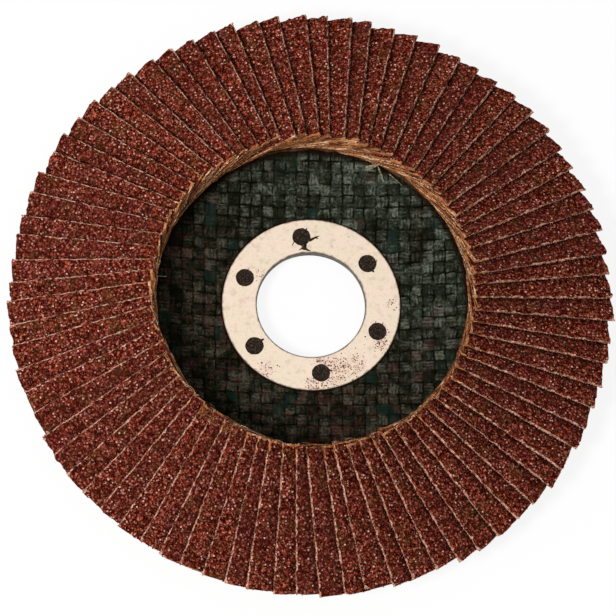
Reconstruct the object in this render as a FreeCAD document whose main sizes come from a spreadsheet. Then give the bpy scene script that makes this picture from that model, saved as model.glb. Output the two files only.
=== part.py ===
import FreeCAD, Part
import math
import os
import random
import Sketcher
from FreeCAD import Placement, Rotation, Vector

# A flap disc, lying on the back of its hub with the abrasive face up.
# Millimetres and degrees. The origin is on the bore axis, in the back face of the hub.

SIZES = [
    ("bore_radius", 11.115, "bore of the metal ring, for a 22.23 mm spindle flange"),
    ("ring_radius", 18.25, "outer edge of the metal ring"),
    ("ring_sheet", 0.5, "thickness of the ring's sheet metal"),
    ("ring_stand", 0.2, "height of the ring's face above the hub"),
    ("ring_bend", 0.4, "rounding where the ring turns into the bore"),
    ("collar_depth", 1.4, "depth of the collar below the ring's face"),
    ("collar_clearance", 0.03, "radial gap between collar and plate"),
    ("hole_count", 6, "holes in the ring"),
    ("hole_radius", 1.8, "radius of each hole in the ring"),
    ("hole_phase", 37.9, "angle of the first hole from +X"),
    ("plug_sink", 0.08, "depth of the resin plugs below the ring's face"),
    ("hub_thickness", 3.2, "plate thickness at the hub"),
    ("hub_land", 1.75, "flat hub outside the ring, on the face"),
    ("hub_back_land", 3.25, "flat hub outside the ring, on the back"),
    ("crest_radius", 32.2, "radius of the plate's crest, where web and annulus meet"),
    ("crest_height", 5.82, "height of the crest above the back of the hub"),
    ("seat_angle", 8.4, "fall of the conical annulus towards the rim"),
    ("plate_thickness", 2.0, "thickness of the annulus"),
    ("press_radius", 3.0, "rounding of the plate's four pressed bends"),
    ("rim_chamfer", 0.4, "broken edges of the plate's rim"),
    ("disc_radius", 61.75, "outer corners of the flaps, before their scatter"),
    ("rim_overhang", 7.25, "reach of the flaps past the plate's rim"),
    ("flap_pairs", 40, "pairs of flaps round the disc"),
    ("first_flap", 0.9, "turn of the first flap's free edge from +X, in degrees"),
    ("flap_width", 16.5, "flap size across its lay, from free edge to foot"),
    ("flap_thickness", 0.95, "cloth with its coat of grain"),
    ("flap_clearance", 0.15, "gap between one flap and the next at their inner ends"),
    ("flap_setback", 1.0, "distance of the flaps' inner ends outside the crest"),
    ("edge_offset", 4.09, "distance of a free edge from its parallel radial line"),
    ("bared_width", 5.5, "strip of each flap that its neighbour can leave bare"),
    ("slide_scatter", 0.35, "largest slide of a flap down or up its lean"),
    ("turn_scatter", 1.1, "largest turn of a flap in its own surface, in degrees"),
    ("reach_scatter", 0.4, "largest slide of a flap along its length"),
    ("foot_film", 0.05, "least adhesive between a flap's foot and the plate"),
    ("adhesive_depth", 1.3, "full depth of the adhesive"),
    ("adhesive_setback", 0.6, "distance of the adhesive outside the crest"),
    ("adhesive_margin", 0.3, "bare rim of the plate outside the adhesive"),
]
TWIST_STEPS = 5
HIDDEN_STEPS = 2
SETTLING_STEPS = 12
SCATTER_SEED = 29

RING_TOP = "(sizes.hub_thickness + sizes.ring_stand)"
RECESS_FLOOR = "(sizes.hub_thickness + sizes.ring_stand - sizes.ring_sheet)"
PLATE_BORE = "(sizes.bore_radius + sizes.ring_sheet + sizes.collar_clearance)"
PLATE_RADIUS = "(sizes.disc_radius - sizes.rim_overhang)"
PLATE_DROP = "(sizes.plate_thickness / cos(sizes.seat_angle))"
HOLE_CIRCLE = "((sizes.bore_radius + sizes.ring_radius) / 2)"
ADHESIVE_INNER = "(sizes.crest_radius + sizes.adhesive_setback)"
ADHESIVE_OUTER = f"({PLATE_RADIUS} - sizes.adhesive_margin)"


def seat_height(radius):
    """Expression for the height of the conical seat at a radius."""
    return f"(sizes.crest_height - ({radius} - sizes.crest_radius) * tan(sizes.seat_angle))"


def make_sheet(doc):
    """The driving sizes, one row each: name, value, what it is."""
    sheet = doc.addObject("Spreadsheet::Sheet", "sizes")
    for row, (alias, value, note) in enumerate(SIZES, start=1):
        sheet.set(f"A{row}", alias)
        sheet.set(f"B{row}", str(value))
        sheet.set(f"C{row}", note)
        sheet.setAlias(f"B{row}", alias)
    doc.recompute()
    return sheet


def origin_feature(body, role):
    """A plane or axis of the body's own origin."""
    return next(item for item in body.Origin.OriginFeatures if item.Role == role)


def new_sketch(body, name, plane, height=None):
    """A sketch on one of the body's origin planes, raised by an expression."""
    sketch = body.newObject("Sketcher::SketchObject", name)
    sketch.AttachmentSupport = (origin_feature(body, plane), [""])
    sketch.MapMode = "FlatFace"
    if height:
        sketch.setExpression(".AttachmentOffset.Base.z", height)
    return sketch


def bind(sketch, constraint, expression):
    """Adds a dimension to the sketch and binds it to the sheet."""
    index = sketch.addConstraint(constraint)
    sketch.setExpression(f"Constraints[{index}]", expression)


def profile(body, name, corners):
    """A closed outline in the XZ plane from (radius, height) expressions."""
    sketch = new_sketch(body, name, "XZ_Plane")
    doc = body.Document
    points = []
    for radius, height in corners:
        points.append(Vector(evaluate(doc, radius), evaluate(doc, height), 0))
    for start, end in zip(points, points[1:] + points[:1]):
        sketch.addGeometry(Part.LineSegment(start, end), False)
    count = len(points)
    for index in range(count):
        sketch.addConstraint(Sketcher.Constraint("Coincident", index, 2, (index + 1) % count, 1))
    for index, (radius, height) in enumerate(corners):
        bind(sketch, Sketcher.Constraint("DistanceX", -1, 1, index, 1, points[index].x), radius)
        if height == "0":
            sketch.addConstraint(Sketcher.Constraint("PointOnObject", index, 1, -1))
        else:
            bind(sketch, Sketcher.Constraint("DistanceY", -1, 1, index, 1, points[index].y), height)
    return sketch


def evaluate(doc, expression):
    """The plain number that an expression on the sheet gives."""
    return float(doc.sizes.evalExpression(expression.replace("sizes.", "")))


def hole_circle_sketch(body, name, height):
    """A circle at the first hole of the ring."""
    doc = body.Document
    sketch = new_sketch(body, name, "XY_Plane", height)
    across = f"{HOLE_CIRCLE} * cos(sizes.hole_phase)"
    along = f"{HOLE_CIRCLE} * sin(sizes.hole_phase)"
    centre = Vector(evaluate(doc, across), evaluate(doc, along), 0)
    radius = evaluate(doc, "sizes.hole_radius")
    sketch.addGeometry(Part.Circle(centre, Vector(0, 0, 1), radius), False)
    bind(sketch, Sketcher.Constraint("DistanceX", -1, 1, 0, 3, centre.x), across)
    bind(sketch, Sketcher.Constraint("DistanceY", -1, 1, 0, 3, centre.y), along)
    bind(sketch, Sketcher.Constraint("Radius", 0, radius), "sizes.hole_radius")
    return sketch


def revolve(body, name, sketch):
    """Turns an outline round the bore axis."""
    feature = body.newObject("PartDesign::Revolution", name)
    feature.Profile = sketch
    feature.ReferenceAxis = (origin_feature(body, "Z_Axis"), [""])
    feature.Angle = 360
    return feature


def dress_circles(body, kind, name, circles, size):
    """Adds a fillet or chamfer on the circular edges at the given (radius, height) expressions."""
    doc = body.Document
    doc.recompute()
    base = body.Tip
    edges = []
    for ring_radius, height in circles:
        edges.append(nearest_circle(base.Shape, evaluate(doc, ring_radius), evaluate(doc, height)))
    feature = body.newObject(f"PartDesign::{kind}", name)
    feature.Base = (base, edges)
    feature.setExpression("Radius" if kind == "Fillet" else "Size", size)
    return feature


def nearest_circle(shape, radius, height):
    """Name of the circular edge round the bore axis nearest to a radius and height."""
    best = None
    for index, edge in enumerate(shape.Edges, start=1):
        if not isinstance(edge.Curve, Part.Circle):
            continue
        centre = edge.Curve.Center
        miss = abs(edge.Curve.Radius - radius) + abs(centre.z - height) + math.hypot(centre.x, centre.y)
        if best is None or miss < best[0]:
            best = (miss, f"Edge{index}")
    return best[1]


def repeat_round(body, name, feature):
    """Repeats a feature at every hole of the ring."""
    pattern = body.newObject("PartDesign::PolarPattern", name)
    pattern.Originals = [feature]
    pattern.Axis = (origin_feature(body, "Z_Axis"), [""])
    pattern.Angle = 360
    pattern.setExpression("Occurrences", "sizes.hole_count")
    body.Tip = pattern
    return pattern


def make_backing_plate(doc):
    """Pressed glass-fibre plate, with the resin plugs that fill the ring's holes."""
    body = doc.addObject("PartDesign::Body", "backing_plate")
    back_radius = "(sizes.ring_radius + sizes.hub_back_land)"
    face_radius = "(sizes.ring_radius + sizes.hub_land)"
    trough_height = f"(sizes.crest_height - {PLATE_DROP})"
    rim_height = seat_height(PLATE_RADIUS)
    rim_back_height = f"({rim_height} - {PLATE_DROP})"
    outline = profile(body, "plate_section", [
        (PLATE_BORE, "0"),
        (back_radius, "0"),
        ("sizes.crest_radius", trough_height),
        (PLATE_RADIUS, rim_back_height),
        (PLATE_RADIUS, rim_height),
        ("sizes.crest_radius", "sizes.crest_height"),
        (face_radius, "sizes.hub_thickness"),
        ("sizes.ring_radius", "sizes.hub_thickness"),
        ("sizes.ring_radius", RECESS_FLOOR),
        (PLATE_BORE, RECESS_FLOOR),
    ])
    revolve(body, "plate_blank", outline)
    pressed = [
        (back_radius, "0"),
        ("sizes.crest_radius", trough_height),
        ("sizes.crest_radius", "sizes.crest_height"),
        (face_radius, "sizes.hub_thickness"),
    ]
    dress_circles(body, "Fillet", "pressed_bends", pressed, "sizes.press_radius")
    rim = [(PLATE_RADIUS, rim_height), (PLATE_RADIUS, rim_back_height)]
    dress_circles(body, "Chamfer", "rim_edges", rim, "sizes.rim_chamfer")
    plug = body.newObject("PartDesign::Pad", "resin_plug")
    plug.Profile = hole_circle_sketch(body, "plug_outline", RECESS_FLOOR)
    plug.setExpression("Length", "sizes.ring_sheet - sizes.plug_sink")
    repeat_round(body, "resin_plugs", plug)
    return body


def make_centre_ring(doc):
    """Sheet-metal ring with its holes and the collar turned back into the bore."""
    body = doc.addObject("PartDesign::Body", "centre_ring")
    collar_radius = "(sizes.bore_radius + sizes.ring_sheet)"
    collar_foot = f"({RING_TOP} - sizes.collar_depth)"
    outline = profile(body, "ring_section", [
        ("sizes.bore_radius", collar_foot),
        (collar_radius, collar_foot),
        (collar_radius, RECESS_FLOOR),
        ("sizes.ring_radius", RECESS_FLOOR),
        ("sizes.ring_radius", RING_TOP),
        ("sizes.bore_radius", RING_TOP),
    ])
    revolve(body, "ring_blank", outline)
    bend = "min(sizes.ring_bend; 0.9 * sizes.ring_sheet)"
    dress_circles(body, "Fillet", "bore_bend", [("sizes.bore_radius", RING_TOP)], bend)
    hole = body.newObject("PartDesign::Pocket", "ring_hole")
    hole.Profile = hole_circle_sketch(body, "hole_outline", RING_TOP)
    hole.Type = "ThroughAll"
    repeat_round(body, "ring_holes", hole)
    return body


def make_adhesive_bed(doc):
    """The adhesive as poured, before the flaps are set in it."""
    body = doc.addObject("PartDesign::Body", "adhesive_bed")
    outline = profile(body, "adhesive_section", [
        (ADHESIVE_INNER, seat_height(ADHESIVE_INNER)),
        (ADHESIVE_OUTER, seat_height(ADHESIVE_OUTER)),
        (ADHESIVE_OUTER, f"{seat_height(ADHESIVE_OUTER)} + sizes.adhesive_depth"),
        (ADHESIVE_INNER, f"{seat_height(ADHESIVE_INNER)} + sizes.adhesive_depth"),
    ])
    revolve(body, "adhesive_pour", outline)
    return body


class FlapLay:
    """The surface that a flap lies on, for a flap whose free edge runs along +X.

    The flaps lean on each other with one rise all the way round and out, so each lies on a
    helical surface: steep at its inner end, flatter at its outer one and twisted between them.
    """

    def __init__(self, sheet):
        self.width = sheet.flap_width
        self.thickness = sheet.flap_thickness
        self.offset = sheet.edge_offset
        inner_radius = sheet.crest_radius + sheet.flap_setback
        self.inner = math.sqrt(inner_radius ** 2 - self.offset ** 2)
        self.outer = math.sqrt(sheet.disc_radius ** 2 - self.offset ** 2)
        self.pitch = math.pi / round(sheet.flap_pairs)
        self.grade = math.tan(math.radians(sheet.seat_angle))
        self.edge_height = 0
        for _ in range(SETTLING_STEPS):
            self.settle(sheet)

    def settle(self, sheet):
        """One step towards the lay whose feet run along the seat at both ends."""
        self.slope = math.atan(self.grade)
        self.length = (self.outer - self.inner) / math.cos(self.slope)
        spacing = self.thickness + sheet.flap_clearance
        share = spacing / (self.inner * self.pitch)
        rise = spacing / math.cos(self.slope) / math.sqrt(1 - share ** 2)
        self.lead = rise / self.pitch
        stray = self.slide_limit(sheet) * math.sin(self.lean(0))
        misses = []
        for station in (0, self.length):
            foot = self.point(station, self.width, self.thickness)
            run = math.hypot(foot.x, foot.y) - sheet.crest_radius
            seat = sheet.crest_height - run * math.tan(math.radians(sheet.seat_angle))
            misses.append(seat + sheet.foot_film + stray - foot.z)
        self.edge_height += misses[0]
        self.grade -= (misses[1] - misses[0]) / (self.outer - self.inner)

    def slide_limit(self, sheet):
        """How far the scatter can move a flap's foot down its lean."""
        return sheet.slide_scatter + math.radians(sheet.turn_scatter) * self.length / 2

    def lean(self, station):
        """Angle across the flap, at a distance along its free edge."""
        reach = self.inner + station * math.cos(self.slope)
        return math.atan(self.lead / reach * math.cos(self.slope))

    def surface_height(self, x, y):
        """The free edge is straight, and the surface falls evenly with the angle past it."""
        radius = math.hypot(x, y)
        reach = math.sqrt(radius ** 2 - self.offset ** 2)
        past_edge = math.atan2(y, x) + math.asin(self.offset / radius)
        return self.edge_height - (reach - self.inner) * self.grade - self.lead * past_edge

    def surface_normal(self, x, y):
        """Unit normal of the surface, upwards."""
        radius = math.hypot(x, y)
        reach = math.sqrt(radius ** 2 - self.offset ** 2)
        outward = (self.lead * self.offset / radius - self.grade * radius) / reach
        around = -self.lead / radius
        slope_x = (outward * x - around * y) / radius
        slope_y = (outward * y + around * x) / radius
        return Vector(-slope_x, -slope_y, 1).normalize()

    def point(self, station, across, depth):
        """A point of the flap: along its free edge, across it towards the foot, and under its face."""
        lean = self.lean(station)
        reach = self.inner + station * math.cos(self.slope)
        x = reach - across * math.sin(lean) * math.sin(self.slope)
        y = across * math.cos(lean) - self.offset
        surface = Vector(x, y, self.surface_height(x, y))
        return surface - self.surface_normal(x, y) * depth

    def stations(self):
        """Distances along the free edge, closer where the flap twists more."""
        ratio = self.inner / self.outer
        places = []
        for step in range(TWIST_STEPS + 1):
            reach = self.inner / (1 - (1 - ratio) * step / TWIST_STEPS)
            places.append((reach - self.inner) / math.cos(self.slope))
        return places


def flat_face(points):
    """A flat face with these corners."""
    return Part.Face(Part.makePolygon(points + points[:1]))


def ribbon(near, far):
    """Flat triangles between two lines of points."""
    faces = []
    for index in range(len(near) - 1):
        faces.append(flat_face([near[index], near[index + 1], far[index + 1]]))
        faces.append(flat_face([near[index], far[index + 1], far[index]]))
    return faces


def solid_between(tops, unders):
    """A solid of flat facets between an upper and a lower grid of points."""
    faces = []
    for step in range(len(tops) - 1):
        near_top, far_top = tops[step:step + 2]
        near_under, far_under = unders[step:step + 2]
        faces += ribbon(near_top, far_top)
        faces += ribbon(near_under, far_under)
        for side in (0, -1):
            faces += ribbon([near_top[side], near_under[side]], [far_top[side], far_under[side]])
    for end in (0, -1):
        faces += ribbon(tops[end], unders[end])
    shell = Part.makeShell(faces)
    shell.sewShape()
    solid = Part.makeSolid(shell)
    if solid.Volume < 0:
        solid.reverse()
    return solid


def flap_solid(lay, sheet, rng):
    """One flap, slid and turned a little on the surface that it lies on."""
    turn = math.radians(rng.uniform(-sheet.turn_scatter, sheet.turn_scatter))
    slide = rng.uniform(-sheet.slide_scatter, sheet.slide_scatter)
    reach = rng.uniform(-sheet.reach_scatter, sheet.reach_scatter)
    hidden = (lay.width - sheet.bared_width) / HIDDEN_STEPS
    columns = [0] + [sheet.bared_width + hidden * step for step in range(HIDDEN_STEPS + 1)]
    tops = []
    unders = []
    for station in lay.stations():
        top = []
        under = []
        for across in columns:
            along = station - lay.length / 2
            over = across - lay.width / 2
            new_station = lay.length / 2 + along * math.cos(turn) - over * math.sin(turn) + reach
            new_across = lay.width / 2 + along * math.sin(turn) + over * math.cos(turn) + slide
            top.append(lay.point(new_station, new_across, 0))
            under.append(lay.point(new_station, new_across, lay.thickness))
        tops.append(top)
        unders.append(under)
    return solid_between(tops, unders)


def about_bore(angle):
    """A turn about the bore axis, in radians."""
    return Placement(Vector(0, 0, 0), Rotation(Vector(0, 0, 1), math.degrees(angle)))


def make_flap_pairs(doc, sheet):
    """All flaps, two to a sub-part, each pair placed round the disc as one."""
    lay = FlapLay(sheet)
    rng = random.Random(SCATTER_SEED)
    pairs = []
    for number in range(round(sheet.flap_pairs)):
        flaps = [flap_solid(lay, sheet, rng), flap_solid(lay, sheet, rng)]
        flaps[1].Placement = about_bore(lay.pitch)
        pair = doc.addObject("Part::Feature", f"flap_pair_{number + 1:02d}")
        pair.Shape = Part.makeCompound(flaps)
        pair.Placement = about_bore(math.radians(sheet.first_flap) + 2 * number * lay.pitch)
        pairs.append(pair)
    return pairs


def make_adhesive_ring(doc, bed, pairs):
    """The adhesive with the flaps' feet set in it."""
    ring = doc.addObject("Part::Feature", "adhesive_ring")
    ring.Shape = bed.Shape.cut([pair.Shape for pair in pairs])
    return ring


def check(doc, parts):
    """Stops if any object failed or any sub-part is empty or broken."""
    for item in doc.Objects:
        if "Invalid" in item.State or "Error" in item.State:
            raise RuntimeError(f"{item.Label} failed: {item.State}")
    for part in parts:
        if part.Shape.isNull() or not part.Shape.isValid() or not part.Shape.Solids:
            raise RuntimeError(f"{part.Label} has no sound solid")


def main():
    doc = FreeCAD.newDocument("flap_disc")
    sheet = make_sheet(doc)
    plate = make_backing_plate(doc)
    ring = make_centre_ring(doc)
    bed = make_adhesive_bed(doc)
    pairs = make_flap_pairs(doc, sheet)
    doc.recompute()
    adhesive = make_adhesive_ring(doc, bed, pairs)
    parts = [plate, ring, adhesive] + pairs
    check(doc, parts)
    os.makedirs("parts", exist_ok=True)
    for part in parts:
        part.Shape.exportStep(f"parts/{part.Label}.step")
        print(part.Label, len(part.Shape.Solids), round(part.Shape.Volume, 2))


main()
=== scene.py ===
import math
import random

import bpy
import numpy as np
from bpy.props import FloatProperty, FloatVectorProperty, IntProperty, PointerProperty
from bpy.types import Operator, Panel, PropertyGroup
from mathutils import Matrix, Vector


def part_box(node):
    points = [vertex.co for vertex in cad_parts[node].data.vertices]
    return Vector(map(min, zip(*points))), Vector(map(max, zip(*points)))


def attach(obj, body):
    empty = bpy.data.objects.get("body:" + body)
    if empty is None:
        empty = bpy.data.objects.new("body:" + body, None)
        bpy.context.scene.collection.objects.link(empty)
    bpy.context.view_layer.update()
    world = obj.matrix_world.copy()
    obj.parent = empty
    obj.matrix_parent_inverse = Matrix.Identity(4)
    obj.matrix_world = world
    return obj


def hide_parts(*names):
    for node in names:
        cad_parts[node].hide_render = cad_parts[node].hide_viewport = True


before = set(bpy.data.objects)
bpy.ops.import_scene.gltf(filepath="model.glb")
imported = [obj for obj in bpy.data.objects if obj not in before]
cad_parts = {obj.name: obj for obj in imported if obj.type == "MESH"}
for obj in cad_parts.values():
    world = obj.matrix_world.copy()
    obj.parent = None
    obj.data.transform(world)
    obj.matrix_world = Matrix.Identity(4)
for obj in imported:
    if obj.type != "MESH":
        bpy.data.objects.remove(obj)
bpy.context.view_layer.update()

bl_info = {
    "name": "Flap disc",
    "version": (1, 0, 0),
    "blender": (4, 5, 0),
    "location": "3D View > Sidebar > Flap disc",
    "description": "Dresses the packed flap disc: abrasive cloth, moulded plate, centre ring and adhesive",
    "category": "Mesh",
}

# Metres and degrees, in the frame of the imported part: the origin is on the bore axis, in the back of the hub.
MM = 0.001
PAIR_NODES = sorted(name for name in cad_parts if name.startswith("flap_pair"))
FLAPS_PER_PAIR = 2
SETTLING_STEPS = 12
FLAP_ROWS = 108
BARED_COLUMNS = 21
PLATE_SEGMENTS = 480
BEAD_SEGMENTS = 420
GRAINS_PER_STAIN = 44
WALL_YARNS, OUTER_STUBS, CORNER_FIBRES, EDGE_FIBRES = 7, 9, 4, 6


def length(name, description, millimetres):
    return FloatProperty(name=name, description=description, default=millimetres * MM, unit="LENGTH")


def paint(name, description, *value):
    return FloatVectorProperty(
        name=name, description=description, default=value, subtype="COLOR", min=0, max=1)


class FlapSizes(PropertyGroup):
    """Sizes of the flaps and of their lay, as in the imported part."""

    flap_count: IntProperty(
        name="Flaps", description="Flaps round the disc", default=FLAPS_PER_PAIR * len(PAIR_NODES), min=8)
    first_flap: FloatProperty(
        name="First flap", description="Turn of the first free edge from +X, in degrees", default=0.9)
    width: length("Width", "From free edge to foot, along the flap", 16.5)
    thickness: length("Thickness", "Cloth with its coat of grain", 0.95)
    clearance: length("Clearance", "Gap between flaps at their inner ends", 0.15)
    setback: length("Setback", "Inner ends outside the plate's crest", 1.0)
    edge_offset: length("Edge offset", "Free edge from its parallel radial line", 4.09)
    disc_radius: length("Disc radius", "Outer corners of the flaps", 61.75)
    slide_scatter: length("Slide scatter", "Largest slide down the lean", 0.35)
    turn_scatter: FloatProperty(
        name="Turn scatter", description="Largest turn of a flap, in degrees", default=1.1)
    reach_scatter: length("Reach scatter", "Largest slide along the length", 0.4)
    foot_film: length("Foot film", "Least adhesive under a foot", 0.05)
    scatter_seed: IntProperty(name="Scatter seed", description="Seed of the flaps' scatter", default=29)
    grain_size: length("Grain size", "Spacing of the abrasive grains", 0.5)
    grain_relief: length("Grain relief", "Height of the largest grains", 0.19)
    yarn_pitch: length("Yarn pitch", "Spacing of the yarns in the cloth", 0.56)
    fray: length("Fray", "Depth of the bared cloth at a flap's inner end", 0.34)


class PlateSizes(PropertyGroup):
    """Sizes of the backing plate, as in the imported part."""

    bore_radius: length("Plate bore", "Radius of the plate's own bore", 11.645)
    ring_radius: length("Recess radius", "Recess that takes the ring", 18.25)
    recess_floor: length("Recess floor", "Height of the recess under the ring", 2.9)
    hub_thickness: length("Hub thickness", "Thickness at the hub", 3.2)
    hub_land: length("Hub land", "Flat outside the ring, on the face", 1.75)
    hub_back_land: length("Back land", "Flat outside the ring, on the back", 3.25)
    crest_radius: length("Crest radius", "Where web and annulus meet", 32.2)
    crest_height: length("Crest height", "Height of the crest above the back", 5.82)
    seat_angle: FloatProperty(
        name="Seat angle", description="Fall of the annulus towards the rim, in degrees", default=8.4)
    thickness: length("Thickness", "Thickness of the annulus", 2.0)
    rim_radius: length("Rim radius", "Outer radius of the plate", 54.5)
    press_radius: length("Press radius", "Rounding of the pressed bends", 3.0)
    rim_round: length("Rim round", "Rounding of the rim's edges", 0.4)
    mesh_pitch: length("Mesh pitch", "Spacing of the glass yarns", 2.35)
    mesh_relief: length("Mesh relief", "Height of the yarns under the resin", 0.16)


class RingSizes(PropertyGroup):
    """Sizes of the centre ring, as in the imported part."""

    face_height: length("Face height", "Height of the ring's face", 3.4)
    bore_radius: length("Bore radius", "Bore of the ring", 11.115)
    hole_count: IntProperty(name="Holes", description="Holes in the ring", default=6)
    hole_radius: length("Hole radius", "Radius of each hole", 1.8)
    hole_circle: length("Hole circle", "Radius of the circle of holes", 14.6825)
    hole_phase: FloatProperty(
        name="Hole phase", description="Angle of the first hole from +X, in degrees", default=37.9)
    plug_sink: length("Plug sink", "Depth of the resin below the face", 0.08)
    flash_width: length("Flash width", "Ragged resin past the holes' edges", 0.13)


class FinishColours(PropertyGroup):
    """Colours of the disc's finishes."""

    grain: paint("Grain", "Brown fused grain under its size coat", 0.38, 0.058, 0.027)
    grain_deep: paint("Deep grain", "Grains that lie deep in the size coat", 0.1, 0.008, 0.0012)
    grain_light: paint("Light grain", "Facets that catch the light", 0.62, 0.235, 0.165)
    grain_pit: paint("Grain pits", "Resin between the grains", 0.014, 0.0008, 0.0002)
    grain_tip: paint("Grain tips", "Pale, chipped grain tips", 0.85, 0.54, 0.44)
    cut_cloth: paint("Cut cloth", "Cut edges of the backing cloth", 0.84, 0.5, 0.37)
    sized_cloth: paint("Sized cloth", "Resin-soaked back of the cloth", 0.42, 0.17, 0.06)
    laminate: paint("Laminate", "Resin-bound glass mesh of the plate", 0.0035, 0.0038, 0.0012)
    # Glass yarn colour, which also serves as the painted highlight on the web's yarns.
    glass_yarn_and_highlight: paint("Glass yarn", "Yarns that show through the resin", 0.066, 0.064, 0.045)
    ring_coat: paint("Ring coat", "Cream finish of the centre ring", 0.83, 0.69, 0.53)
    # Dark brown, partly the bond's own colour and partly painted shade where the bead sits at the foot of the
    # flaps.
    adhesive: paint("Adhesive", "Amber bond under the flaps", 0.075, 0.032, 0.011)
    plug: paint("Plugs", "Dark resin in the ring's holes", 0.010, 0.0055, 0.0025)


class StageSettings(PropertyGroup):
    """Camera and light."""

    camera_place: FloatVectorProperty(
        name="Camera", description="Place of the camera", subtype="TRANSLATION", unit="LENGTH",
        default=(-0.0558, -0.3062, 0.9897))
    camera_target: FloatVectorProperty(
        name="Target", description="Point that the camera looks at", subtype="TRANSLATION", unit="LENGTH",
        default=(0, 0, 0.0034))
    lens: FloatProperty(name="Lens", description="Focal length in millimetres", default=295.1)
    key_power: FloatProperty(
        name="Key light", description="Power of the key lamp", default=10.5, unit="POWER")
    fill_power: FloatProperty(
        name="Fill light", description="Power of the fill lamp", default=0.8, unit="POWER")
    room_light: FloatProperty(name="Room light", description="Strength of the even light", default=0.40)


class Value:
    """One output of a node, with the sums, ranges and blends that are made of it."""

    def __init__(self, nodes, socket):
        self.nodes = nodes
        self.socket = socket

    def __add__(self, other):
        return self.nodes.math("ADD", self, other)

    def __sub__(self, other):
        return self.nodes.math("SUBTRACT", self, other)

    def __mul__(self, other):
        return self.nodes.math("MULTIPLY", self, other)

    def most(self, other):
        return self.nodes.math("MAXIMUM", self, other)

    def span(self, low, high, to_low=0.0, to_high=1.0):
        """Maps a range of this value to another one, and holds it there."""
        ends = (low, high, to_low, to_high)
        return self.nodes.value(0, "ShaderNodeMapRange", self, *ends, interpolation_type="SMOOTHSTEP")

    def mix(self, first, second):
        """Blends two colours, with this value as the share of the second."""
        made = self.nodes.node("ShaderNodeMix", self, data_type="RGBA")
        self.nodes.feed(made.inputs[6], first)
        self.nodes.feed(made.inputs[7], second)
        return Value(self.nodes, made.outputs[2])


class Nodes:
    """The nodes of a material or a world, with short ways to add and join them."""

    def __init__(self, owner):
        owner.use_nodes = True
        self.tree = owner.node_tree
        self.tree.nodes.clear()

    def feed(self, socket, value):
        """Joins a value to an input, or sets the input to a number, a place or a colour."""
        value = getattr(value, "socket", value)
        if isinstance(value, bpy.types.NodeSocket):
            self.tree.links.new(value, socket)
        else:
            socket.default_value = (*value, 1) if socket.type == "RGBA" else value

    def node(self, kind, *inputs, **settings):
        """Adds a node with its settings, and feeds its first inputs."""
        made = self.tree.nodes.new(kind)
        for key, value in settings.items():
            setattr(made, key, value)
        for socket, value in zip(made.inputs, inputs):
            self.feed(socket, value)
        return made

    def value(self, output, kind, *inputs, **settings):
        return Value(self, self.node(kind, *inputs, **settings).outputs[output])

    def math(self, operation, first, second=0.0, clamp=False):
        return self.value(0, "ShaderNodeMath", first, second, operation=operation, use_clamp=clamp)


class Finish(Nodes):
    """The nodes of one finish, with places in millimetres."""

    def __init__(self, name):
        self.material = bpy.data.materials.new(name)
        super().__init__(self.material)
        self.shader = self.node("ShaderNodeBsdfPrincipled")
        self.node("ShaderNodeOutputMaterial", self.shader.outputs["BSDF"])
        place = self.value("Object", "ShaderNodeTexCoord")
        self.place = self.vector("MULTIPLY", place, (1 / MM, 1 / MM, 1 / MM))
        self.x, self.y, self.z = self.split("XYZ", self.place)

    def vector(self, operation, first, second=(0, 0, 0)):
        return self.value(0, "ShaderNodeVectorMath", first, second, operation=operation)

    def split(self, kind, value):
        """The three channels of a colour or a place."""
        return [Value(self, socket) for socket in self.node(f"ShaderNodeSeparate{kind}", value).outputs[:3]]

    def joined(self, values, scales):
        """A place made of three scaled values."""
        scaled = (value * scale for value, scale in zip(values, scales))
        return self.value(0, "ShaderNodeCombineXYZ", *scaled)

    def attribute(self, name):
        return self.value("Fac", "ShaderNodeAttribute", attribute_name=name)

    def noise(self, scale, detail=2.0, place=None):
        made = self.node("ShaderNodeTexNoise", place or self.place)
        made.inputs["Scale"].default_value = scale
        made.inputs["Detail"].default_value = detail
        return Value(self, made.outputs["Fac"])

    def cells(self, scale):
        """How far the middle of the nearest cell is, and three random values of that cell."""
        made = self.node("ShaderNodeTexVoronoi", self.place)
        made.inputs["Scale"].default_value = scale
        return Value(self, made.outputs["Distance"]), self.split("Color", made.outputs["Color"])

    def reach(self):
        """Distance from the bore axis."""
        flat = self.vector("MULTIPLY", self.place, (1, 1, 0))
        return self.value("Value", "ShaderNodeVectorMath", flat, operation="LENGTH")

    def bump(self, height, distance, strength, under=None):
        made = self.node("ShaderNodeBump")
        made.inputs["Distance"].default_value = distance
        made.inputs["Strength"].default_value = strength
        self.feed(made.inputs["Height"], height)
        if under:
            self.feed(made.inputs["Normal"], under)
        return Value(self, made.outputs["Normal"])

    def close(self, colour, roughness, normal, specular=None):
        for name, value in (("Base Color", colour), ("Roughness", roughness), ("Normal", normal)):
            self.feed(self.shader.inputs[name], value)
        if specular is not None:
            self.shader.inputs["Specular IOR Level"].default_value = specular
        return self.material


def wall_foot(finish):
    """Shade where the flaps' inner ends meet the adhesive."""
    return finish.z.span(7.6, 6.3, 0.0, 0.9) * finish.reach().span(36.0, 34.6)


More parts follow.
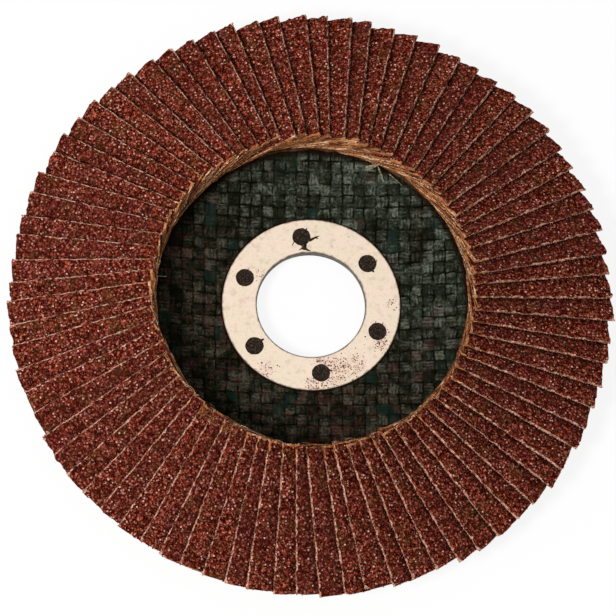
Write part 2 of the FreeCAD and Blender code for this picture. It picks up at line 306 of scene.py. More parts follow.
def abrasive_finish(colours, lead):
    """Grain in its size coat, and yarns where the cloth is cut or bare, with painted shade under the flaps'
    free edges and at their foot. lead is the lay's fall per radian.
    """
    finish = Finish("abrasive_cloth")
    to_grain, chance = finish.cells(1.75)
    _, chip = finish.cells(3.6)
    fine = finish.noise(5.0, 3.0)
    body = chance[0].span(0.0, 1.0).mix(colours.grain_deep, colours.grain)
    body = chip[0].span(0.55, 0.95, 0.0, 0.75).mix(body, colours.grain_light)
    body = chip[1].span(0.58, 0.88, 0.0, 0.9).mix(body, colours.grain_pit)
    olive = finish.noise(0.3, 3.0).span(0.5, 0.68)
    body = (olive * 0.5).mix(body, (0.14, 0.062, 0.018))
    rosy = finish.noise(0.17).span(0.5, 0.64) * fine.span(0.3, 0.6)
    body = (rosy * 0.35).mix(body, (0.2, 0.026, 0.032))
    tips = chance[1].span(0.76, 0.84) * to_grain.span(0.42, 0.2) * chip[2].span(0.2, 0.7)
    body = tips.mix(body, colours.grain_tip)
    pits = to_grain.span(0.34, 0.6) * fine.span(0.35, 0.6, 0.35, 1.0)
    body = pits.mix(body, colours.grain_pit)
    body = finish.attribute("tone").mix(body, (0.05, 0.009, 0.008))

    cut = finish.noise(1.9, 3.0).span(0.36, 0.62).mix((0.3, 0.09, 0.045), colours.cut_cloth)
    cloth = finish.attribute("cut").mix(colours.sized_cloth, cut)
    cloth = fine.span(0.6, 0.4, 0.0, 0.6).mix(cloth, (0.12, 0.035, 0.015))
    spin = finish.math("ARCTAN2", finish.y, finish.x)
    layer = finish.z + spin * lead
    strand = finish.noise(1.0, 3.0, finish.joined((layer, spin, finish.reach()), (3.4, 9.0, 0.5)))
    wall = strand.span(0.38, 0.56).mix((0.07, 0.02, 0.007), (0.48, 0.18, 0.065))
    wall = strand.span(0.58, 0.68).mix(wall, (0.82, 0.55, 0.36))
    cloth = finish.reach().span(36.2, 35.2).mix(cloth, wall)

    coat = (finish.attribute("coat") + fine * 0.5 - 0.25).span(0.42, 0.58)
    # Painted shade: near-black under the flaps' free edges, on the lower cut sides and at the foot of the inner
    # wall.
    painted_crevice_shade = finish.attribute("painted_crevice_shade").most(wall_foot(finish))
    colour = painted_crevice_shade.mix(coat.mix(cloth, body), (0.01, 0.003, 0.002))
    normal = finish.bump(fine - to_grain * 1.6, 0.12 * MM, 0.8)
    return finish.close(colour, chance[2].span(0.0, 1.0, 0.42, 0.85), normal, 0.0)


def woven(finish, pitch):
    """Place in a plain weave: across the upper yarn, along it, and a random value for the crossing."""
    bent = finish.place
    for scale, detail, sway in ((0.24, 2.0, (1.1, 0.9, 0)), (0.9, 1.0, (0.45, -0.4, 0))):
        bent = finish.vector("ADD", bent, finish.vector("MULTIPLY", finish.noise(scale, detail), sway))
    scaled = finish.vector("MULTIPLY", bent, (1 / pitch, 1 / pitch, 0))
    crossing = finish.vector("FLOOR", scaled)
    left, up, _ = finish.split("XYZ", finish.vector("FRACTION", scaled))
    column, row, _ = finish.split("XYZ", crossing)
    over = finish.math("FLOORED_MODULO", column + row, 2.0)
    under = finish.math("SUBTRACT", 1.0, over)
    chance = finish.value("Value", "ShaderNodeTexWhiteNoise", crossing)
    return left * over + up * under, up * over + left * under, chance


def laminate_finish(colours, sizes):
    """Dark resin over a coarse glass mesh, with pale yarn backs that partly carry painted highlights, a painted
    highlight towards the upper right, painted shade at the flaps' foot and beside the ring, and a few tinted
    crossings.
    """
    finish = Finish("laminate")
    across, along, chance = woven(finish, sizes.mesh_pitch / MM)
    fine = finish.noise(3.0, 3.0)
    broad = finish.noise(0.13)
    smudge = finish.noise(0.7, 3.0)
    fibre = finish.noise(1.0, 3.0, finish.joined((across, along, chance), (7.0, 1.3, 37.0)))
    rib = finish.math("SINE", across * (6 * math.pi) + smudge * 6.0)
    crown = finish.math("ABSOLUTE", across - 0.5).span(0.5, 0.36)
    gap = crown * finish.math("ABSOLUTE", along - 0.5).span(0.5, 0.2)
    # Painted highlight: the web lightens towards the upper right, where the light falls on its slope, and the
    # pale yarns there take a greener highlight colour.
    away = finish.x * 0.019 + finish.y * 0.022
    glow = away.span(-0.1, 0.95) * broad.span(0.3, 0.6)
    filled = finish.noise(0.5).span(0.42, 0.6, 0.08, 0.8)
    # The pale yarn pattern is partly the glass yarns seen through the resin and partly painted highlight on
    # their crowns and ribs.
    yarn_and_painted_highlight = gap.span(0.0, 0.6).most(filled) * fibre.span(0.3, 0.62, 0.3, 1.0) * rib.span(-0.8, 0.8, 0.55, 1.0)
    yarn_and_painted_highlight = yarn_and_painted_highlight * chance.span(0.0, 1.0, 0.3, 1.25) * smudge.span(0.34, 0.6, 0.35, 1.2)
    yarn_and_painted_highlight = yarn_and_painted_highlight * finish.noise(2.4).span(0.35, 0.65, 0.45, 1.25)
    yarn_and_painted_highlight = finish.math("MULTIPLY", yarn_and_painted_highlight, finish.noise(0.36).span(0.38, 0.64, 0.55, 1.4), clamp=True)
    body = glow.mix(colours.laminate, (0.006, 0.009, 0.0045))
    colour = yarn_and_painted_highlight.mix(body, glow.mix(colours.glass_yarn_and_highlight, (0.155, 0.182, 0.14)))
    torn = fine.span(0.66, 0.44) * finish.noise(0.5).span(0.4, 0.6, 1.0, 0.2)
    colour = (gap.span(0.25, 0.0, 0.0, 0.85) * torn).mix(colour, (0.002, 0.002, 0.001))
    rust = chance.span(0.9, 0.93) * broad.span(0.45, 0.6)
    colour = (rust * 0.25).mix(colour, (0.06, 0.012, 0.012))
    around = away.span(0.15, -0.4) * smudge.span(0.5, 0.66)
    colour = (around * 0.45).mix(colour, (0.05, 0.011, 0.009))
    sea = chance.span(0.1, 0.07) * broad.span(0.6, 0.45)
    colour = (sea * 0.25).mix(colour, (0.01, 0.045, 0.035))
    # Painted shade at the foot of the flaps' inner wall, and a painted shadow line on the plate beside the
    # ring's outer edge.
    edge = finish.reach() + smudge * 0.8
    foot = edge.span(31.4, 32.4) * finish.z.span(5.0, 5.3, 0.0, 0.85)
    rim = edge.span(19.3, 18.9) * finish.z.span(2.9, 3.0, 0.0, 0.8)
    colour = foot.most(rim).mix(colour, (0.01, 0.004, 0.002))
    normal = finish.bump(gap * 0.8 + rib * 0.18, 0.16 * MM, 0.8)
    normal = finish.bump(fine, 0.1 * MM, 0.7, normal)
    return finish.close(colour, fine.span(0.3, 0.7, 0.35, 0.6), normal, 0.0)


# Stains and grit on the ring's face: place in millimetres, radius, strength.
RING_STAINS = (
    (-9.0, -14.0, 1.9, 0.55), (14.3, -7.9, 2.2, 0.8), (4.6, -13.9, 3.6, 0.9), (8.6, -13.0, 2.6, 0.7),
    (0.8, -17.3, 2.2, 0.9), (1.9, -11.8, 1.2, 0.9), (16.6, 0.6, 1.2, 0.35), (-10.6, 6.4, 1.6, 0.3),
)


def ring_finish(colours, sizes):
    """Cream coat, mottled and rubbed, with rust-brown grit at the lower right and painted shade on the bend
    into the bore.
    """
    finish = Finish("ring_coat")
    cloudy = finish.noise(1.1, 4.0)
    colour = finish.noise(0.22).span(0.38, 0.62).mix(colours.ring_coat, (0.86, 0.69, 0.56))
    colour = cloudy.span(0.48, 0.72, 0.0, 0.6).mix(colour, (0.7, 0.61, 0.43))
    colour = finish.noise(0.6, 4.0).span(0.53, 0.68, 0.0, 0.55).mix(colour, (0.62, 0.47, 0.37))
    colour = finish.noise(3.2, 3.0).span(0.56, 0.72, 0.0, 0.4).mix(colour, (0.48, 0.38, 0.27))
    to_speck, sparse = finish.cells(2.3)
    dot = to_speck.span(0.3, 0.16)
    few = dot * sparse[0].span(0.965, 0.975, 0.0, 0.6)
    patch = None
    for left, up, radius, strength in RING_STAINS:
        centre = (left, up, sizes.face_height / MM)
        away = finish.value("Value", "ShaderNodeVectorMath", finish.place, centre, operation="DISTANCE")
        mask = away.span(radius * 1.25, radius * 0.2, 0.0, strength)
        patch = patch.most(mask) if patch else mask
    dense = to_speck.span(0.45, 0.22) * (sparse[0] + patch * 0.75).span(1.0, 1.06)
    blush = patch * cloudy.span(0.35, 0.7, 0.0, 0.55)
    colour = blush.mix(colour, (0.5, 0.22, 0.15))
    speck = sparse[1].span(0.25, 0.6).mix((0.11, 0.035, 0.022), (0.48, 0.19, 0.13))
    colour = few.most(dense).mix(colour, speck)
    edge = finish.reach() + cloudy * 0.5
    # Painted shade: dark grey on the ring's bend down into the bore.
    bore = edge.span(sizes.bore_radius / MM + 0.75, sizes.bore_radius / MM + 0.3)
    colour = bore.mix(colour, (0.085, 0.068, 0.048))
    colour = (edge.span(18.2, 18.5) * 0.75).mix(colour, (0.09, 0.035, 0.02))
    normal = finish.bump(cloudy, 0.05 * MM, 0.5)
    normal = finish.bump(dot, 0.03 * MM, 0.4, normal)
    return finish.close(colour, cloudy.span(0.3, 0.7, 0.42, 0.62), normal)


def adhesive_finish(colours):
    """Dull amber bond, darker where it is thick, and dark overall partly as painted shade at the foot of the
    flaps.
    """
    finish = Finish("amber_adhesive")
    cloudy = finish.noise(0.9, 4.0)
    colour = cloudy.span(0.35, 0.65).mix(colours.adhesive, (0.03, 0.012, 0.006))
    colour = finish.noise(4.0).span(0.6, 0.76, 0.0, 0.45).mix(colour, (0.3, 0.14, 0.055))
    return finish.close(colour, 0.5, finish.bump(cloudy, 0.25 * MM, 0.8), 0.1)


def plug_finish(colours):
    """Dark brown resin, dull and crumbly."""
    finish = Finish("plug_resin")
    cloudy = finish.noise(2.4, 4.0)
    colour = cloudy.span(0.48, 0.74).mix(colours.plug, (0.095, 0.05, 0.023))
    to_crumb, _ = finish.cells(4.0)
    return finish.close(colour, 0.6, finish.bump(cloudy + to_crumb, 0.12 * MM, 0.8), 0.2)


def thread_finish(name, pale, deep):
    """Loose yarn, with fibres along it."""
    finish = Finish(name)
    colour = finish.noise(2.6, 3.0).span(0.35, 0.7).mix(deep, pale)
    return finish.close(colour, 0.85, finish.bump(finish.noise(9.0), 0.03 * MM, 0.6))


def yarn_finish():
    """Resin-soaked yarns, from pale straw to burnt orange."""
    finish = Finish("golden_yarn")
    tint = finish.attribute("tint")
    colour = tint.span(0.1, 0.7).mix((0.13, 0.038, 0.011), (0.52, 0.2, 0.07))
    colour = tint.span(0.66, 0.9).mix(colour, (0.74, 0.5, 0.3))
    colour = finish.noise(2.0, 3.0).span(0.56, 0.4, 0.0, 0.85).mix(colour, (0.07, 0.02, 0.007))
    colour = wall_foot(finish).mix(colour, (0.02, 0.008, 0.004))
    return finish.close(colour, 0.7, finish.bump(finish.noise(7.0), 0.04 * MM, 0.6), 0.2)


def circle(count):
    """Angles at even steps round a circle."""
    return 2 * math.pi * np.arange(count) / count


def quads(rows, columns, start=0, closed=False, ring=True, inward=False):
    """Faces between rows of points. closed joins the last row to the first, and ring the ends of each."""
    faces = []
    for row in range(rows if closed else rows - 1):
        near, far = start + row * columns, start + (row + 1) % rows * columns
        for column in range(columns if ring else columns - 1):
            following = (column + 1) % columns
            here, ahead, beyond, past = near + column, near + following, far + following, far + column
            faces.append((here, past, beyond, ahead) if inward else (here, ahead, beyond, past))
    return faces


def seat_height(plate, radius):
    """Height of the annulus' face, which falls from the crest to the rim."""
    return plate.crest_height - (radius - plate.crest_radius) * math.tan(math.radians(plate.seat_angle))


class FlapLay:
    """The helical surface that a flap lies on, for a flap whose free edge runs along +X."""

    def __init__(self, flaps, plate):
        self.width, self.thickness, self.offset = flaps.width, flaps.thickness, flaps.edge_offset
        inner_radius = plate.crest_radius + flaps.setback
        self.inner = math.sqrt(inner_radius ** 2 - self.offset ** 2)
        self.outer = math.sqrt(flaps.disc_radius ** 2 - self.offset ** 2)
        self.pitch = 2 * math.pi / flaps.flap_count
        self.spacing = flaps.thickness + flaps.clearance
        self.grade = math.tan(math.radians(plate.seat_angle))
        self.edge_height = 0
        for _ in range(SETTLING_STEPS):
            self.settle(flaps, plate)

    def settle(self, flaps, plate):
        """One step towards the lay whose feet run along the plate's seat at both ends."""
        self.slope = math.atan(self.grade)
        self.length = (self.outer - self.inner) / math.cos(self.slope)
        share = self.spacing / (self.inner * self.pitch)
        rise = self.spacing / math.cos(self.slope) / math.sqrt(1 - share ** 2)
        self.lead = rise / self.pitch
        self.slide_limit = flaps.slide_scatter + math.radians(flaps.turn_scatter) * self.length / 2
        stray = self.slide_limit * math.sin(self.lean(0))
        misses = []
        for station in (0, self.length):
            foot = self.points(np.array([station]), np.array([self.width]), np.array([self.thickness]))[0]
            seat = seat_height(plate, math.hypot(foot[0], foot[1]))
            misses.append(seat + flaps.foot_film + stray - foot[2])
        self.edge_height += misses[0]
        self.grade -= (misses[1] - misses[0]) / (self.outer - self.inner)

    def lean(self, station):
        """Angle across the flap, at a distance along its free edge."""
        reach = self.inner + station * math.cos(self.slope)
        return np.arctan(self.lead / reach * math.cos(self.slope))

    def points(self, station, across, depth):
        """Points of a flap: along its free edge, across it towards the foot, and under its face."""
        lean = self.lean(station)
        along = self.inner + station * math.cos(self.slope)
        x = along - across * np.sin(lean) * math.sin(self.slope)
        y = across * np.cos(lean) - self.offset
        radius = np.hypot(x, y)
        reach = np.sqrt(radius ** 2 - self.offset ** 2)
        past_edge = np.arctan2(y, x) + np.arcsin(self.offset / radius)
        z = self.edge_height - (reach - self.inner) * self.grade - self.lead * past_edge
        outward = (self.lead * self.offset / radius - self.grade * radius) / reach
        around = -self.lead / radius
        slope_x = (outward * x - around * y) / radius
        slope_y = (outward * y + around * x) / radius
        tall = np.sqrt(slope_x ** 2 + slope_y ** 2 + 1)
        return np.stack([x + slope_x / tall * depth, y + slope_y / tall * depth, z - depth / tall], -1)


class Flap:
    """One flap of the disc, with its own slide and turn on the lay."""

    def __init__(self, lay, angle, turn, slide, reach):
        self.lay = lay
        self.angle = angle
        self.turn = turn
        self.slide = slide
        self.reach = reach

    def place(self, along, across, depth):
        """Points in the disc's frame from places on the flat flap."""
        lay = self.lay
        run = along - lay.length / 2
        over = across - lay.width / 2
        run, over = spun(run, over, self.turn)
        local = lay.points(lay.length / 2 + run + self.reach, lay.width / 2 + over + self.slide, depth)
        return turned(local, self.angle)

    def chart(self, points):
        """Where points of the disc lie on this flap: along its free edge, and across it from that edge."""
        lay = self.lay
        local = turned(points, -self.angle)
        station = (local[:, 0] - lay.inner) / math.cos(lay.slope)
        over = (local[:, 1] + lay.offset) / np.cos(lay.lean(station)) - lay.width / 2 - self.slide
        run, over = spun(station - lay.length / 2 - self.reach, over, -self.turn)
        return run + lay.length / 2, over + lay.width / 2


def spun(x, y, angle):
    """Places turned about the origin of a plane."""
    cos, sin = math.cos(angle), math.sin(angle)
    return x * cos - y * sin, x * sin + y * cos


def turned(points, angle):
    """Points turned about the bore axis."""
    return np.stack([*spun(points[:, 0], points[:, 1], angle), points[:, 2]], -1)


def lay_flaps(flaps, plate):
    """Every flap, in order round the disc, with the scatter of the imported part."""
    lay = FlapLay(flaps, plate)
    draw = random.Random(flaps.scatter_seed)
    made = []
    for number in range(flaps.flap_count):
        turn = math.radians(draw.uniform(-flaps.turn_scatter, flaps.turn_scatter))
        slide = draw.uniform(-flaps.slide_scatter, flaps.slide_scatter)
        reach = draw.uniform(-flaps.reach_scatter, flaps.reach_scatter)
        angle = math.radians(flaps.first_flap) + number * lay.pitch
        made.append(Flap(lay, angle, turn, slide, reach))
    return lay, made


def smooth_random(rng, places, spacing, height):
    """A wavering line: random values at even spacing, joined smoothly."""
    low, high = places.min() - spacing, places.max() + 2 * spacing
    knots = np.arange(low, high, spacing)
    values = rng.uniform(-height, height, len(knots))
    share = (places - low) / spacing
    index = np.clip(share.astype(int), 0, len(knots) - 2)
    part = share - index
    part = part * part * (3 - 2 * part)
    return values[index] * (1 - part) + values[index + 1] * part


def grain_heights(rng, along, across, size):
    """Heights from 0 to 1 of grains set at random, each a rough dome."""
    rows = int(along.max() / size) + 4
    columns = int(across.max() / size) + 4
    seat_along = rng.uniform(0.1, 0.9, (rows, columns))
    seat_across = rng.uniform(0.1, 0.9, (rows, columns))
    tall = rng.uniform(0.25, 1.0, (rows, columns))
    a, c = along / size + 1, across / size + 1
    row, column = a.astype(int), c.astype(int)
    best = np.zeros_like(a)
    for step_row in (-1, 0, 1):
        for step_column in (-1, 0, 1):
            r = np.clip(row + step_row, 0, rows - 1)
            k = np.clip(column + step_column, 0, columns - 1)
            away = np.hypot(a - r - seat_along[r, k], c - k - seat_across[r, k])
            best = np.maximum(best, tall[r, k] * np.clip(1 - (away / 0.75) ** 2, 0, 1))
    return best


def fade(distance, millimetres):
    """1 at no distance, falling to 0 at this many millimetres."""
    return np.clip(1 - distance / (millimetres * MM), 0, 1)


def end_trim(flap, across):
    """How far a flap's outer end is cut back, by the distance from its free edge."""
    slant = 0.5 * MM * np.clip(0.55 + 0.6 * math.cos(flap.angle - math.radians(60)), 0, 1)
    spare = 0.2 * MM * (1 - 0.6 * math.sin(flap.angle))
    hidden = 1.8 * MM * np.clip(across / flap.lay.width, 0, 1) ** 2
    return slant * np.clip(across / (5 * MM), 0, 1) + hidden - spare


def flap_mesh(flap, above, sizes, rng):
    """Vertices, faces and point values of one flap. above is the flap that covers most of it."""
    lay = flap.lay
    along = np.linspace(0, lay.length, FLAP_ROWS + 1)
    along[1:-1] += rng.uniform(-0.3, 0.3, FLAP_ROWS - 1) * lay.length / FLAP_ROWS
    reach = lay.inner + along * math.cos(lay.slope)
    bared = lay.pitch * reach / np.cos(lay.lean(along)) + 2 * lay.slide_limit + 0.3 * MM
    edge = smooth_random(rng, along, 1.3 * MM, 0.09 * MM) + smooth_random(rng, along, 0.35 * MM, 0.06 * MM)
    loop = []
    for column in range(BARED_COLUMNS):
        share = column / (BARED_COLUMNS - 1)
        across = bared * share + edge * (1 - share) ** 6
        if 0 < column < BARED_COLUMNS - 1:
            across = across + rng.uniform(-0.35, 0.35, len(along)) * bared / BARED_COLUMNS
        loop.append(("face", across, np.zeros_like(along)))
    loop.append(("face", np.full_like(along, (lay.width + bared.max()) / 2), np.zeros_like(along)))
    foot = smooth_random(rng, along, 0.6 * MM, 0.12 * MM)
    loop.append(("face", lay.width + foot, np.zeros_like(along)))
    for depth in (0.55, 1.0):
        side = smooth_random(rng, along, 0.5 * MM, 0.12 * MM)
        loop.append(("cut", lay.width + side, np.full_like(along, depth * lay.thickness)))
    for share in (0.85, 0.5, 0.12):
        sag = rng.uniform(-0.03, 0.03, len(along)) * MM
        loop.append(("back", np.full_like(along, share * lay.width), lay.thickness + sag))
    stub = 0.5 + 0.5 * np.cos(2 * math.pi * along / sizes.yarn_pitch + smooth_random(rng, along, 2 * MM, 2.0))
    for depth, tuck, proud in ((1.0, 0.3, 0.0), (0.8, 0.16, 0.12), (0.6, 0.05, 0.2), (0.42, 0.0, 0.12)):
        side = edge + (tuck - proud * stub) * MM + smooth_random(rng, along, 0.4 * MM, 0.05 * MM)
        loop.append(("cut", side, np.full_like(along, depth * lay.thickness)))

    kinds = np.array([kind for kind, _, _ in loop])
    across = np.stack([item[1] for item in loop], 1)
    depth = np.stack([item[2] for item in loop], 1)
    sunk = depth.mean(0) / lay.thickness
    rows, columns = across.shape
    station = np.repeat(along[:, None], columns, 1)
    inner_fray = smooth_random(rng, across[0], 0.5 * MM, 0.3 * MM)
    outer_fray = smooth_random(rng, across[-1], 0.5 * MM, 0.22 * MM)
    station = station + fade(station, 1.2) * inner_fray + fade(lay.length - station, 1.0) * outer_fray
    station = station - end_trim(flap, across) * fade(lay.length - station, 4)

    is_face = kinds == "face"
    clear_of_edge = np.clip(across, 0, None) + 2 * sizes.grain_size
    heights = grain_heights(rng, np.clip(station, 0, None), clear_of_edge, sizes.grain_size)
    chipped = smooth_random(rng, across.ravel(), 0.45 * MM, 0.5).reshape(across.shape)
    inner_bare = np.clip((sizes.fray * (1 + chipped) - station) / (0.3 * MM), 0, 1)
    thin = smooth_random(rng, station.ravel(), 0.9 * MM, 0.2 * MM).reshape(across.shape)
    # Painted highlight: the pale bared edge widens towards the left of the disc, where the light catches the
    # cut edges; thin and corner are real wear.
    painted_lit_widening = 0.12 * MM * math.sin(flap.angle / 2) ** 2
    corner = rng.uniform(0.1, 0.5) * MM * fade(lay.length - station, 0.9)
    from_edge = np.clip(across - edge[:, None], 0, None)
    edge_bare = np.clip((thin + painted_lit_widening + corner - from_edge) / (0.12 * MM) + 0.3, 0, 1)
    bare = np.maximum(inner_bare, edge_bare)
    lift = (heights * sizes.grain_relief - 0.07 * MM) * (1 - bare) - bare * 0.12 * MM
    depth = np.where(is_face, -lift, depth)

    points = flap.place(station.ravel(), across.ravel(), depth.ravel())
    above_along, above_across = (item.reshape(across.shape) for item in above.chart(points))
    # Painted shade: the face darkens where it runs under the free edge of the flap above, more on some sides of
    # the disc than on others, and the lower part of each cut side darkens too.
    hidden = fade(-above_across - 0.02 * MM, 0.34)
    hidden = hidden * np.clip((above_along - 0.1 * MM) / (0.5 * MM), 0, 1)
    hidden = hidden * np.clip((lay.length - 0.1 * MM - above_along) / (0.5 * MM), 0, 1)
    shade = 0.65 + 0.35 * math.cos(flap.angle + math.radians(30))
    shade = shade * np.exp(np.clip(above_across, -5 * MM, 0) / (0.85 * MM))
    hidden = hidden ** 1.5 * (0.8 - 0.2 * math.sin(flap.angle))
    hidden = np.maximum(hidden, np.where(above_along > 0, 0.8 * shade, 0))
    sides = np.where(kinds == "cut", np.clip((sunk - 0.28) * 1.7, 0, 0.95), 0)
    to_end = np.minimum(station, lay.length - station)
    painted_crevice_shade = np.where(is_face, hidden, sides)
    painted_crevice_shade = painted_crevice_shade * np.clip((to_end + 0.2 * MM) / (0.8 * MM), 0, 1)
    coat = np.where(is_face, 1 - bare, 0.0)
    coat = np.where(((kinds == "cut") & (sunk < 0.5))[None, :], 0.2, coat)
    cut = np.where(kinds == "back", 0.0, 1.0) * (1 - 0.75 * fade(station, 0.9))
    tone = np.full(across.shape, rng.uniform(0, 0.3))

    faces = quads(rows, columns)
    faces.append(tuple(range(columns - 1, -1, -1)))
    faces.append(tuple((rows - 1) * columns + column for column in range(columns)))
    values = {"coat": coat, "cut": cut, "painted_crevice_shade": painted_crevice_shade, "tone": tone}
    return points, faces, {name: value.ravel() for name, value in values.items()}


def tube(line, radius, sides, ends=(0.5, 0.5), steep=0.8):
    """Vertices and faces of a closed tube along a line of points, with shares of the radius at its ends."""
    line = np.asarray(line, float)
    run = np.gradient(line, axis=0)
    run /= np.linalg.norm(run, axis=1)[:, None]
    helper = np.array([0, 0, 1.0]) if abs(run[0][2]) < steep else np.array([1.0, 0, 0])
    first = np.cross(run, helper)
    first /= np.linalg.norm(first, axis=1)[:, None]
    second = np.cross(run, first)
    angle = circle(sides)[None, :, None]
    thick = np.full(len(line), radius)
    thick[[0, -1]] *= ends
    around = first[:, None, :] * np.cos(angle) + second[:, None, :] * np.sin(angle)
    points = (line[:, None, :] + around * thick[:, None, None]).reshape(-1, 3)
    faces = quads(len(line), sides, inward=True)
    faces.append(tuple(range(sides)))
    faces.append(tuple(len(points) - 1 - side for side in range(sides)))
    return points, faces


def rod(ends, radius, sides, taper=0.75):
    """A short closed rod between two points."""
    return tube(ends, radius, sides, (1, taper), 0.9)


class MeshParts:
    """Gathers the vertices and faces of many small shapes into one mesh."""

    def __init__(self):
        self.points = []
        self.faces = []
        self.values = {}

    def add(self, points, faces, values=None):
        start = sum(len(item) for item in self.points)
        self.points.append(np.asarray(points, float))
        self.faces += [tuple(index + start for index in face) for face in faces]
        for name, value in (values or {}).items():
            self.values.setdefault(name, []).append(value)

    def add_tinted(self, points, faces, tint):
        self.add(points, faces, {"tint": np.full(len(points), tint)})

    def piece(self, name, material, slot, nodes=(), smooth=False):
        """Makes the object, rides it on the part and hides the imported nodes that it stands for."""
        mesh = bpy.data.meshes.new(name)
        mesh.from_pydata(np.concatenate(self.points).tolist(), [], self.faces)
        mesh.polygons.foreach_set("use_smooth", [smooth] * len(mesh.polygons))
        for key, chunks in self.values.items():
            layer = mesh.attributes.new(key, "FLOAT", "POINT")
            layer.data.foreach_set("value", np.concatenate(chunks).astype(np.float32))
        mesh.materials.append(material)
        mesh.update()
        if mesh.validate():
            raise RuntimeError(f"{name} has faulty faces")
        made = bpy.data.objects.new(name, mesh)
        bpy.context.scene.collection.objects.link(made)
        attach(made, "root")
        if nodes:
            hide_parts(*nodes)
        return made


class DISC_OT_flaps(Operator):
    """Lay the 80 flaps of abrasive cloth, two to a piece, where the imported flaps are"""

    bl_idname = "disc.lay_flaps"
    bl_label = "Lay flaps"

    def execute(self, context):
        scene = context.scene
        sizes = scene.flap_sizes
        lay, flaps = lay_flaps(sizes, scene.plate_sizes)
        material = abrasive_finish(scene.finish_colours, lay.lead / MM)
        for pair, node in enumerate(PAIR_NODES):
            parts = MeshParts()
            for number in (FLAPS_PER_PAIR * pair, FLAPS_PER_PAIR * pair + 1):
                rng = np.random.default_rng(100 + number)
                above = flaps[(number + 1) % len(flaps)]
                parts.add(*flap_mesh(flaps[number], above, sizes, rng))
            name = node.replace("flap_pair", "abrasive_flaps")
            made = parts.piece(name, material, "abrasive_cloth", [node])
            check_fit(made, node)
        return {"FINISHED"}


def check_fit(made, node):
    """Stops if a dressed piece isn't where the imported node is."""
    low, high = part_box(node)
    points = np.array([vertex.co for vertex in made.data.vertices])
    slack = 0.6 * MM
    if (points.min(0) < np.array(low) - slack).any() or (points.max(0) > np.array(high) + slack).any():
        raise RuntimeError(f"{made.name} doesn't lie where {node} is")


class DISC_OT_yarn_ends(Operator):
    """Set the yarn ends along the flaps' inner and outer ends, and the frayed fibres on their free edges"""

    bl_idname = "disc.set_yarn_ends"
    bl_label = "Set yarn ends"

    def execute(self, context):
        scene = context.scene
        lay, flaps = lay_flaps(scene.flap_sizes, scene.plate_sizes)
        rng = np.random.default_rng(7)
        yarns, fibres = MeshParts(), MeshParts()
        for flap in flaps:
            for _ in range(WALL_YARNS):
                self.end_yarn(yarns, flap, rng)
            for _ in range(OUTER_STUBS):
                self.outer_stub(yarns, flap, rng)
            for _ in range(CORNER_FIBRES):
                corner = flap.place(
                    np.array([rng.uniform(0.1, 0.5), -rng.uniform(0.1, 0.4)]) * MM,
                    np.array([rng.uniform(0.0, 0.5), rng.uniform(-0.35, 0.8)]) * MM,
                    np.array([0.5, rng.uniform(-0.05, 0.5)]) * lay.thickness)
                fibres.add(*rod(corner, rng.uniform(0.06, 0.11) * MM, 4, 0.5))
            for _ in range(EDGE_FIBRES):
                along = rng.uniform(0.02, 0.98) * lay.length
                ends = flap.place(
                    np.array([along, along + rng.uniform(-0.9, 0.9) * MM]),
                    np.array([0.25, -rng.uniform(0.1, 0.45)]) * MM,
                    np.array([lay.thickness * 0.6, lay.thickness * rng.uniform(0.0, 0.6)]))
                fibres.add(*rod(ends, rng.uniform(0.03, 0.055) * MM, 4, 0.4))
        yarns.piece("yarn_ends", yarn_finish(), "abrasive_cloth", smooth=True)
        pale = thread_finish("pale_fibre", (0.72, 0.5, 0.38), (0.4, 0.2, 0.12))
        fibres.piece("frayed_fibres", pale, "abrasive_cloth")
        return {"FINISHED"}

    @staticmethod
    def end_yarn(yarns, flap, rng):
        """A yarn bared along a flap's inner end, from near the free edge down to the foot."""
        lay = flap.lay
        first, last = rng.uniform(-0.02, 0.25) * lay.width, rng.uniform(0.6, 0.97) * lay.width
        steps = max(6, int((last - first) / (1.05 * MM)))
        across = np.linspace(first, last, steps)
        depth = rng.uniform(0.05, 0.95) * lay.thickness + smooth_random(rng, across, 3 * MM, 0.1 * MM)
        along = -rng.uniform(-0.12, 0.14) * MM + smooth_random(rng, across, 2.2 * MM, 0.1 * MM)
        if rng.random() < 0.3:
            along[:2] -= rng.uniform(0.1, 0.5) * MM
        line = flap.place(along, across, depth)
        yarns.add_tinted(*tube(line, rng.uniform(0.06, 0.12) * MM, 4), rng.random())

    @staticmethod
    def outer_stub(yarns, flap, rng):
        """A yarn cut off at a flap's outer end."""
        lay = flap.lay
        across = rng.uniform(0.0, 0.9) * lay.width
        depth = lay.thickness * rng.uniform(0.55, 0.8)
        end = lay.length - end_trim(flap, across)
        ends = flap.place(
            np.array([end - 0.4 * MM, end + rng.uniform(0.0, 0.28) * MM]),
            np.array([across, across + rng.uniform(-0.12, 0.12) * MM]),
            np.array([depth, depth + rng.uniform(-0.08, 0.12) * MM]))
        yarns.add_tinted(*rod(ends, rng.uniform(0.1, 0.18) * MM, 5), rng.random())


def rounded(corners, radii, steps=5):
    """A closed outline with its corners rounded, as (radius, height) points."""
    outline = []
    count = len(corners)
    for index in range(count):
        before, here, after = (Vector(corners[(index + step) % count]) for step in (-1, 0, 1))
        radius = radii[index]
        if not radius:
            outline.append(tuple(here))
            continue
        inward, outward = (before - here).normalized(), (after - here).normalized()
        half = inward.angle(outward) / 2
        centre = here + (inward + outward).normalized() * radius / math.sin(half)
        start, end = here + inward * radius / math.tan(half), here + outward * radius / math.tan(half)
        sweep = (start - centre).angle_signed(end - centre)
        first = math.atan2((start - centre).y, (start - centre).x)
        for step in range(steps + 1):
            angle = first - sweep * step / steps
            outline.append((centre.x + radius * math.cos(angle), centre.y + radius * math.sin(angle)))
    return outline


